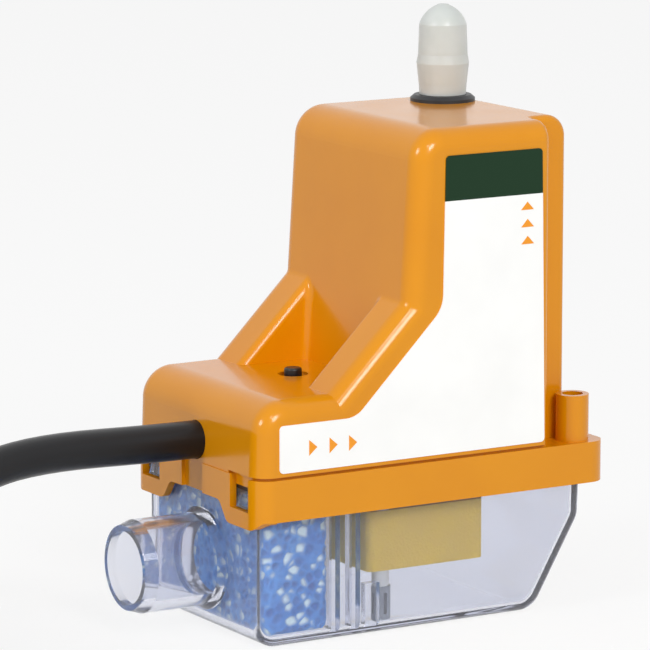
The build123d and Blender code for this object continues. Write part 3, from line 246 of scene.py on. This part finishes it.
def clear_moulded_san():
    """Clear SAN, polished mould: bright faces, and a cool lilac cast where light runs along a wall."""
    material = start_material("clear_moulded_san")
    tree = material.node_tree
    point = place_in_mm(tree)
    ripple = noise(tree, point, 7.0, 2.0)
    shader = add_node(
        tree,
        "ShaderNodeBsdfPrincipled",
        {
            "Base Color": linear("#EEF0F8"),
            "Roughness": 0.06,
            "IOR": 1.3,
            "Transmission Weight": 0.93,
        },
        {"Normal": bump(tree, ripple, 0.02, 0.5)},
    )
    tint = add_node(
        tree,
        "ShaderNodeVolumeAbsorption",
        {"Color": linear("#B7BEDF"), "Density": 14.0},
    )
    add_node(
        tree,
        "ShaderNodeOutputMaterial",
        links={"Surface": shader.outputs[0], "Volume": tint.outputs[0]},
    )
    return material


def reticulated_foam():
    """Open-cell filter foam: satin blue struts, pale painted highlights (glints) in the pits of some cells,
    and painted shade darkening the gaps between them.
    """
    material = start_material("reticulated_foam")
    tree = material.node_tree
    point = place_in_mm(tree)
    depth = add_node(tree, "ShaderNodeAttribute", {"attribute_name": "depth"}).outputs["Fac"]
    painted_glint = add_node(tree, "ShaderNodeAttribute", {"attribute_name": "painted_glint"}).outputs["Fac"]
    struts = blend_colours(
        tree, between(tree, noise(tree, point, 3.0, 3.0), 0.0, 1.0), "#2C82D6", "#52A2EA"
    )
    # Painted shade: the struts darken to deep blue towards the pit bottoms
    painted_shade_gaps = blend_colours(tree, depth, struts, "#1558A8")
    # Painted highlight: pale glints painted into the pits of some cells
    colour = blend_colours(tree, painted_glint, painted_shade_gaps, "#ECFFFB")
    grain = noise(tree, point, 0.35, 2.0)
    return surface(
        material,
        {"IOR": 1.5, "Roughness": 0.45, "Sheen Weight": 0.1},
        {"Base Color": colour, "Normal": bump(tree, grain, 0.08)},
    )


def closed_cell_float():
    """Closed-cell foam, cut and slightly aged: matt, mottled straw yellow with fine cut cells."""
    material = start_material("closed_cell_float")
    tree = material.node_tree
    point = place_in_mm(tree)
    cloud = between(tree, noise(tree, point, 6.0, 4.0), 0.0, 1.0)
    cells = add_node(
        tree, "ShaderNodeTexVoronoi", {"Scale": 1 / 0.5}, {"Vector": point}
    ).outputs["Distance"]
    colour = blend_colours(tree, cloud, "#E8C12E", "#E2BC3E")
    return surface(
        material,
        {"Roughness": 0.75, "Specular IOR Level": 0.3},
        {"Base Color": colour, "Normal": bump(tree, cells, 0.08)},
    )


def milky_polyethylene():
    """Soft natural polyethylene: milky, light bleeds in and its sheen is broad."""
    material = start_material("milky_polyethylene")
    tree = material.node_tree
    point = place_in_mm(tree)
    cloud = between(tree, noise(tree, point, 5.0, 2.0), 0.0, 1.0)
    colour = blend_colours(tree, cloud, "#D2D6D3", "#CBD0CC")
    return surface(
        material,
        {
            "Roughness": 0.34,
            "IOR": 1.51,
            "Subsurface Weight": 0.6,
            "Subsurface Radius": (1.0, 1.0, 0.9),
            "Subsurface Scale": 0.0015,
        },
        {"Base Color": colour, "Normal": bump(tree, noise(tree, point, 1.2), 0.01)},
    )


def black_rubber():
    """Moulded black rubber: a dull bloom over a dark ground, so its highlights are broad and greyish."""
    material = start_material("black_rubber")
    tree = material.node_tree
    point = place_in_mm(tree)
    bloom = between(tree, noise(tree, point, 2.0, 4.0), 0.0, 1.0)
    colour = blend_colours(tree, bloom, "#17181B", "#212328")
    return surface(
        material,
        {"Roughness": 0.42, "IOR": 1.52},
        {"Base Color": colour, "Normal": bump(tree, noise(tree, point, 0.4), 0.01)},
    )


def extruded_pvc(name, dark, pale, rough):
    """Extruded PVC: faint streaks along the run from the die and a satin sheen."""
    material = start_material(name)
    tree = material.node_tree
    point = place_in_mm(tree)
    streak = noise(tree, point, 1.1, 3.0)
    colour = blend_colours(tree, between(tree, noise(tree, point, 12.0), 0.0, 1.0), dark, pale)
    return surface(
        material,
        {"Roughness": rough, "IOR": 1.53, "Specular IOR Level": 0.3},
        {"Base Color": colour, "Normal": bump(tree, streak, 0.012)},
    )


def moulded_plastic(name, dark, pale, rough, grain_mm):
    """Moulded plastic with a fine spark-eroded grain: even colour and a broad sheen."""
    material = start_material(name)
    tree = material.node_tree
    point = place_in_mm(tree)
    colour = blend_colours(tree, between(tree, noise(tree, point, 8.0, 3.0), 0.0, 1.0), dark, pale)
    return surface(
        material,
        {"Roughness": rough, "IOR": 1.5},
        {"Base Color": colour, "Normal": bump(tree, noise(tree, point, grain_mm, 3.0), 0.02)},
    )


def worked_metal(name, dark, pale, rough, grain_mm):
    """Metal as turned, drawn or plated: fine tool marks that spread its reflections."""
    material = start_material(name)
    tree = material.node_tree
    point = place_in_mm(tree)
    colour = blend_colours(tree, between(tree, noise(tree, point, 3.0, 4.0), 0.0, 1.0), dark, pale)
    marks = noise(tree, point, grain_mm, 4.0)
    spread = between(tree, marks, rough - 0.08, rough + 0.08)
    return surface(
        material,
        {"Metallic": 1.0},
        {"Base Color": colour, "Roughness": spread, "Normal": bump(tree, marks, 0.01)},
    )


def printed_vinyl():
    """White vinyl film under a clear laminate, with a dark green band printed along its top."""
    material = start_material("printed_vinyl")
    tree = material.node_tree
    point = place_in_mm(tree)
    height = add_node(tree, "ShaderNodeSeparateXYZ", links={0: point}).outputs["Z"]
    band = add_node(
        tree, "ShaderNodeMath", {"operation": "GREATER_THAN", 1: HEADER_BOTTOM}, {0: height}
    ).outputs[0]
    white = blend_colours(
        tree, between(tree, noise(tree, point, 10.0), 0.0, 1.0), "#FAFAF8", "#F6F6F4"
    )
    colour = blend_colours(tree, band, white, "#15331D")
    return surface(
        material,
        {"Roughness": 0.3, "IOR": 1.48, "Specular IOR Level": 0.2},
        {"Base Color": colour, "Normal": bump(tree, noise(tree, point, 4.0), 0.01)},
    )


def printing_ink(name, dark, pale):
    """Screen-printed ink: flat colour with a very slight unevenness."""
    material = start_material(name)
    tree = material.node_tree
    point = place_in_mm(tree)
    colour = blend_colours(tree, between(tree, noise(tree, point, 0.6), 0.0, 1.0), dark, pale)
    return surface(material, {"Roughness": 0.35, "IOR": 1.48}, {"Base Color": colour})


def paper_floor():
    """Pale studio paper, near white to the camera so that only the shadow shows."""
    material = start_material("paper_floor")
    tree = material.node_tree
    point = place_in_mm(tree)
    fibre = between(tree, noise(tree, point, 3.0), 0.0, 1.0)
    paper = add_node(
        tree,
        "ShaderNodeBsdfDiffuse",
        links={"Color": blend_colours(tree, fibre, "#F4F4F4", "#F2F2F2")},
    )
    glow = add_node(tree, "ShaderNodeEmission", {"Color": (1, 1, 1, 1), "Strength": 1.0})
    shown = seen_directly(tree)
    share = add_node(tree, "ShaderNodeMath", {"operation": "MULTIPLY", 1: FLOOR_GLOW}, {0: shown})
    mixed = add_node(
        tree,
        "ShaderNodeMixShader",
        links={0: share.outputs[0], 1: paper.outputs[0], 2: glow.outputs[0]},
    )
    add_node(tree, "ShaderNodeOutputMaterial", links={"Surface": mixed.outputs[0]})
    return material


def seen_directly(tree):
    """1 for a ray from the camera, off a glossy face or through the clear tank."""
    path = add_node(tree, "ShaderNodeLightPath")
    first = add_node(
        tree,
        "ShaderNodeMath",
        {"operation": "MAXIMUM"},
        {0: path.outputs["Is Camera Ray"], 1: path.outputs["Is Glossy Ray"]},
    )
    return add_node(
        tree,
        "ShaderNodeMath",
        {"operation": "MAXIMUM"},
        {0: first.outputs[0], 1: path.outputs["Is Transmission Ray"]},
    ).outputs[0]


def dress(material, *names):
    """Gives CAD nodes their material."""
    for name in names:
        slots = nodes[name].data.materials
        slots.clear()
        slots.append(material)


# Surfaces worked out with numpy


def link_mesh(name, points, faces, smooth=True):
    """A mesh object from points in millimetres."""
    mesh = bpy.data.meshes.new(name)
    mesh.from_pydata((np.asarray(points, float) * MM).tolist(), [], faces)
    mesh.validate()
    piece = bpy.data.objects.new(name, mesh)
    bpy.context.scene.collection.objects.link(piece)
    mesh.polygons.foreach_set("use_smooth", np.full(len(mesh.polygons), smooth))
    return piece


def cell_field(points, size, seed):
    """Distances to the nearest two seeds of a cubic lattice, and the nearest's number.

    Each lattice cube of the given size holds one seed at a random place inside it.
    """
    base = np.floor(points / size).astype(int)
    best = np.full(len(points), np.inf)
    second = np.full(len(points), np.inf)
    owner = np.zeros(len(points))
    for shift in np.ndindex(3, 3, 3):
        cube = base + np.array(shift) - 1
        jitter = np.stack([hashed(cube, seed + k) for k in range(3)], axis=1)
        away = np.linalg.norm((cube + jitter) * size - points, axis=1)
        nearer = away < best
        second = np.where(nearer, best, np.minimum(second, away))
        owner = np.where(nearer, hashed(cube, seed + OWNER_SEED), owner)
        best = np.minimum(best, away)
    return best, second, owner


def hashed(cube, seed):
    """A number from 0 to 1 for each lattice cube, always the same for the same cube."""
    mixed = np.sin(cube @ np.array(HASH_WEIGHTS) + HASH_SEED_WEIGHT * seed) * HASH_SPREAD
    return mixed - np.floor(mixed)


def filter_foam_block():
    """The foam as a rounded box whose six faces are grids, pulled in where its cells open.

    A grid point p on the box first moves to the rounded box: with c = clamp(p), the point nearest
    to p in the box less its rounding r, it goes to c + r * (p - c) / |p - c|. Then it moves in along
    that direction by the pit depth times how far it lies inside its cell.
    """
    low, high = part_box("filter_foam")
    low = np.array(low) / MM
    high = np.array(high) / MM
    points, faces = box_grid(low, high, FOAM_STEP)
    core = np.clip(points, low + FOAM_ROUND, high - FOAM_ROUND)
    away = points - core
    away /= np.maximum(np.linalg.norm(away, axis=1), 1e-9)[:, None]
    rounded = core + FOAM_ROUND * away
    best, second, owner = cell_field(rounded, FOAM_CELL, FOAM_SEED)
    wall = np.clip((second - best) / (FOAM_WALL_SHARE * FOAM_CELL), 0, 1)
    pit = wall * wall * (3 - 2 * wall)
    depth = pit * (FOAM_LEAST_PIT + (1 - FOAM_LEAST_PIT) * owner)
    piece = link_mesh("filter_foam_block", rounded - away * (FOAM_PIT * depth)[:, None], faces)
    # Painted highlight: marks the pits of some cells for pale painted glints
    painted_glint = pit * (owner > FOAM_PAINTED_GLINT_FROM)
    # depth also darkens the pits in the foam material, as painted shade
    for name, values in (("depth", depth), ("painted_glint", painted_glint)):
        attribute = piece.data.attributes.new(name, "FLOAT", "POINT")
        attribute.data.foreach_set("value", values.astype(np.float32))
    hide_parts("filter_foam")
    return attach(piece, "reservoir")


def box_grid(low, high, step):
    """The surface of a box as one closed grid: each face is a lattice, and edge points are merged."""
    counts = np.maximum(np.ceil((high - low) / step).astype(int), 2)
    axes = [np.linspace(low[i], high[i], counts[i] + 1) for i in range(3)]
    points, faces, start = [], [], 0
    for fixed in range(3):
        first, other = [i for i in range(3) if i != fixed]
        for end in (0, 1):
            u, v = np.meshgrid(axes[first], axes[other], indexing="ij")
            sheet = np.zeros((u.size, 3))
            sheet[:, first] = u.ravel()
            sheet[:, other] = v.ravel()
            sheet[:, fixed] = (low, high)[end][fixed]
            index = np.arange(u.size).reshape(u.shape) + start
            corners = [index[:-1, :-1], index[1:, :-1], index[1:, 1:], index[:-1, 1:]]
            quads = np.stack(corners, axis=-1).reshape(-1, 4)
            outward = (fixed != 1) == bool(end)
            faces.append(quads if outward else quads[:, ::-1])
            points.append(sheet)
            start += u.size
    points = np.concatenate(points)
    faces = np.concatenate(faces)
    _, first_seen, merged = np.unique(
        np.round(points / step * MERGE_FINENESS).astype(int), axis=0, return_index=True, return_inverse=True
    )
    return points[first_seen], merged.ravel()[faces].tolist()


def label_arrows():
    """The plain triangles printed on the label, each a thin prism that stands on the film's face."""
    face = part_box("label_plate")[0].y / MM
    points, faces = [], []
    for marks, size, turn in (
        (UP_ARROWS, UP_ARROW_SIZE, 0.0),
        (SIDE_ARROWS, SIDE_ARROW_SIZE, -math.pi / 2),
    ):
        across, along = size
        corners = np.array([(-across / 2, -along / 2), (across / 2, -along / 2), (0, along / 2)])
        turned = corners @ np.array(
            [(math.cos(turn), math.sin(turn)), (-math.sin(turn), math.cos(turn))]
        )
        for middle in marks:
            flat = turned + np.array(middle)
            start = len(points)
            for depth in (face, face - ARROW_THICKNESS):
                points += [(x, depth, z) for x, z in flat]
            a, b, c, d, e, f = range(start, start + 6)
            faces += [(a, c, b), (d, e, f), (a, b, e, d), (b, c, f, e), (c, a, d, f)]
    piece = link_mesh("label_arrows", points, faces, smooth=False)
    piece.data.materials.append(printing_ink("orange_ink", "#F29A1A", "#EE9516"))
    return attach(piece, "pump_body")


# Mains lead


def coil_line():
    """The coil's turns as points on circles about its centre, clockwise from above.

    Each turn keeps the radius and height of its slot, then slides to the next slot, s = 3t^2 - 2t^3.
    The deeper turn slides a little before the one above, so that they roll past each other.
    Near the tie all are drawn towards the section's middle.
    """
    outer, inner = COIL_OUTER_TURN, COIL_INNER_TURN
    top, middle, bottom = COIL_LAYERS
    slots = np.array(
        [
            (outer, top),
            (inner, top),
            (inner, middle),
            (outer, middle),
            (outer, bottom),
            (inner, bottom),
        ]
    )
    wound = np.arange(POINT_STEP, 360 * FULL_TURNS + COIL_LAST_ARC, POINT_STEP)
    turn = (wound // 360).astype(int)
    following = np.minimum(turn + 1, FULL_TURNS)
    start = SLIDE_START + SLIDE_LAG * (FULL_TURNS - 1 - turn)
    slide = np.clip((wound - 360 * turn - start) / SLIDE_ARC, 0, 1)
    slide = (slide * slide * (3 - 2 * slide))[:, None]
    place = slots[turn] * (1 - slide) + slots[following] * slide
    angle = COIL_START_ANGLE - wound
    from_tie = (angle - TIE_ANGLE + 180) % 360 - 180
    pinch = np.exp(-((from_tie / TIE_PINCH_ARC) ** 2)) * TIE_PINCH
    section_middle = np.array([(outer + inner) / 2, middle])
    reach = np.array([CABLE_RADIUS, 2 * CABLE_RADIUS])
    place -= (place - section_middle) / reach * pinch[:, None]
    radius = place[:, 0] / math.cos(math.radians(POINT_STEP / 2))
    around = np.radians(angle)
    return round_point(COIL_CENTRE, radius, around, place[:, 1])


def round_point(centre, radius, around, height):
    """Points at angles round an upright axis."""
    height = np.broadcast_to(height, np.shape(around))
    x = centre[0] + radius * np.cos(around)
    y = centre[1] + radius * np.sin(around)
    return np.stack([x, y, height], axis=-1)


def tail_line():
    """The lead's end, an arc that leaves the inner bottom turn and bends further in."""
    leaving = math.radians(COIL_START_ANGLE - COIL_LAST_ARC)
    centre = round_point(COIL_CENTRE, COIL_INNER_TURN - TAIL_BEND, leaving, 0.0)
    around = leaving - np.radians(np.linspace(0, TAIL_ARC, TAIL_POINTS))
    return round_point(centre, TAIL_BEND, around, COIL_LAYERS[-1])


def cable_line():
    """The whole lead: the given route, the coil's turns and the tail."""
    return np.concatenate([np.array(CABLE_ROUTE), coil_line(), tail_line()])


def mains_cable():
    """The lead as one round curve through the line's points."""
    line = cable_line() * MM
    curve = bpy.data.curves.new("mains_cable", "CURVE")
    curve.dimensions = "3D"
    spline = curve.splines.new("NURBS")
    spline.points.add(len(line) - 1)
    spline.points.foreach_set("co", np.column_stack([line, np.ones(len(line))]).ravel())
    spline.order_u = 3
    spline.use_endpoint_u = True
    curve.resolution_u = STEPS_ALONG
    curve.bevel_depth = CABLE_RADIUS * MM
    curve.bevel_resolution = STEPS_ROUND
    curve.use_fill_caps = True
    piece = bpy.data.objects.new("mains_cable", curve)
    bpy.context.scene.collection.objects.link(piece)
    piece.data.materials.append(extruded_pvc("black_cable_pvc", "#0D0E11", "#121317", 0.34))
    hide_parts("mains_lead", "lead_coil", "lead_tail")
    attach(piece, "reservoir")
    return piece


# Dressing of the CAD nodes


def dress_housing():
    dress(glossy_moulded_abs(), "upper_casing", "base_skirt", "clip_lugs")
    dress(printed_vinyl(), "label_plate")
    dress(moulded_plastic("black_button_abs", "#101013", "#17171A", 0.35, 0.4), "test_button")


def dress_tank():
    dress(clear_moulded_san(), "tank")
    dress(closed_cell_float(), "float_block")
    dress(moulded_plastic("grey_polypropylene", "#8E939B", "#9AA0A8", 0.45, 0.5), "suction_strainer")
    acetal = moulded_plastic("natural_acetal", "#DADAD4", "#E4E4DF", 0.4, 0.6)
    dress(acetal, "suction_pipe", "float_pins")


def dress_outlet():
    dress(milky_polyethylene(), "transit_cap")
    dress(
        black_rubber(),
        "outlet_grommet",
        "tank_gasket",
        "motor_mount",
        "diaphragm",
        "suction_valves",
        "discharge_valve",
    )
    dress(moulded_plastic("black_nylon", "#1B1C1F", "#242528", 0.4, 0.5), "outlet_spigot", "coil_tie")


def dress_pump():
    zinc = worked_metal("zinc_plated_steel", "#9A9C9F", "#B4B6B8", 0.32, 0.3)
    dress(zinc, "motor_can", "head_screws", "board_screws", "clamp_screws", "casing_screws")
    dress(worked_metal("ground_steel", "#8C8E92", "#A6A8AB", 0.22, 0.15), "motor_shaft", "wobble_pin")
    dress(worked_metal("sintered_bronze", "#8A6A3C", "#A07E4C", 0.5, 0.4), "motor_bearings")
    dress(worked_metal("stacked_steel_sheet", "#6B6D72", "#7E8085", 0.45, 0.35), "stator_core")
    dress(worked_metal("enamelled_copper", "#A5532A", "#B9673A", 0.35, 0.3), "stator_coils")
    magnet = worked_metal("sintered_magnet", "#37383B", "#45464A", 0.6, 0.4)
    dress(magnet, "rotor_magnet", "float_magnet")
    glass_nylon = moulded_plastic("glass_filled_nylon", "#202226", "#2B2D31", 0.5, 0.35)
    dress(glass_nylon, "motor_cap", "chamber_body", "head_cover", "wobble_plate")
    dress(moulded_plastic("natural_nylon", "#D9D6CB", "#E2DFD5", 0.42, 0.5), "crank_hub", "cable_clamp")
    dress(moulded_plastic("grey_pps", "#4E5156", "#5B5F64", 0.45, 0.4), "valve_plate", "terminal_block")
    dress(extruded_pvc("silicone_hose", "#CDCDC6", "#DADAD4", 0.4), "suction_hose", "outlet_hose")
    dress(moulded_plastic("damping_foam", "#3A3B3E", "#4B4C50", 0.9, 0.6), "damper_pads")


def dress_electronics():
    mask = moulded_plastic("green_solder_mask", "#1B5A33", "#216B3D", 0.3, 0.8)
    dress(mask, "circuit_board", "hall_board")
    epoxy = moulded_plastic("black_epoxy", "#141416", "#1D1D20", 0.35, 0.5)
    dress(epoxy, "tact_switch", "board_capacitors")
    dress(moulded_plastic("wound_ferrite", "#5A4A2E", "#6B5836", 0.5, 0.4), "board_transformer")
    grey_core = extruded_pvc("grey_core_pvc", "#6E7074", "#7C7E83", 0.4)
    dress(grey_core, "inner_cores", "motor_leads", "core_alarm")
    dress(extruded_pvc("brown_core_pvc", "#4A2A17", "#57331D", 0.4), "core_live")
    dress(extruded_pvc("blue_core_pvc", "#1D4F9C", "#245BB0", 0.4), "core_neutral")


# Setting


def studio_floor():
    """A flat sheet just under the tank."""
    mesh = bpy.data.meshes.new("studio_floor")
    low = -FLOOR_DROP_MM * MM
    signs = ((-1, -1), (1, -1), (1, 1), (-1, 1))
    corners = [(x * FLOOR_HALF, y * FLOOR_HALF, low) for x, y in signs]
    mesh.from_pydata(corners, [], [(0, 1, 2, 3)])
    mesh.materials.append(paper_floor())
    floor = bpy.data.objects.new("studio_floor", mesh)
    bpy.context.scene.collection.objects.link(floor)


def studio_world():
    world = bpy.data.worlds.new("studio_world")
    bpy.context.scene.world = world
    world.use_nodes = True
    tree = world.node_tree
    tree.nodes.clear()
    strength = add_node(
        tree,
        "ShaderNodeMapRange",
        {"To Min": WORLD_STRENGTH, "To Max": 1.0},
        {"Value": seen_directly(tree)},
    )
    sky = add_node(
        tree,
        "ShaderNodeBackground",
        {"Color": (1, 1, 1, 1)},
        {"Strength": strength.outputs["Result"]},
    )
    add_node(tree, "ShaderNodeOutputWorld", links={"Surface": sky.outputs[0]})


def studio_lamps():
    for name, place, size, power in LAMPS:
        light = bpy.data.lights.new(name, "AREA")
        light.shape = "DISK"
        light.size = size
        light.energy = power
        lamp = bpy.data.objects.new(name, light)
        lamp.location = place
        lamp.rotation_mode = "QUATERNION"
        lamp.rotation_quaternion = (Vector(LAMP_AIM) - Vector(place)).to_track_quat("-Z", "Y")
        bpy.context.scene.collection.objects.link(lamp)


def camera():
    lens = bpy.data.cameras.new("camera")
    lens.sensor_width = SENSOR_WIDTH
    lens.lens = FOCAL_LENGTH * SENSOR_WIDTH
    lens.clip_start = NEAREST_SEEN
    lens.clip_end = FURTHEST_SEEN
    eye = bpy.data.objects.new("camera", lens)
    azimuth, elevation = math.radians(CAMERA_AZIMUTH), math.radians(CAMERA_ELEVATION)
    ahead = Vector(
        (
            math.sin(azimuth) * math.cos(elevation),
            math.cos(azimuth) * math.cos(elevation),
            -math.sin(elevation),
        )
    )
    eye.location = CAMERA_PLACE
    eye.rotation_mode = "QUATERNION"
    eye.rotation_quaternion = ahead.to_track_quat("-Z", "Y")
    bpy.context.scene.collection.objects.link(eye)
    bpy.context.scene.camera = eye


camera()
mains_cable()
dress_housing()
dress_tank()
dress_outlet()
dress_pump()
dress_electronics()
foam = filter_foam_block()
foam.data.materials.append(reticulated_foam())
label_arrows()
studio_floor()
studio_world()
studio_lamps()
bpy.context.scene.view_settings.view_transform = "Standard"
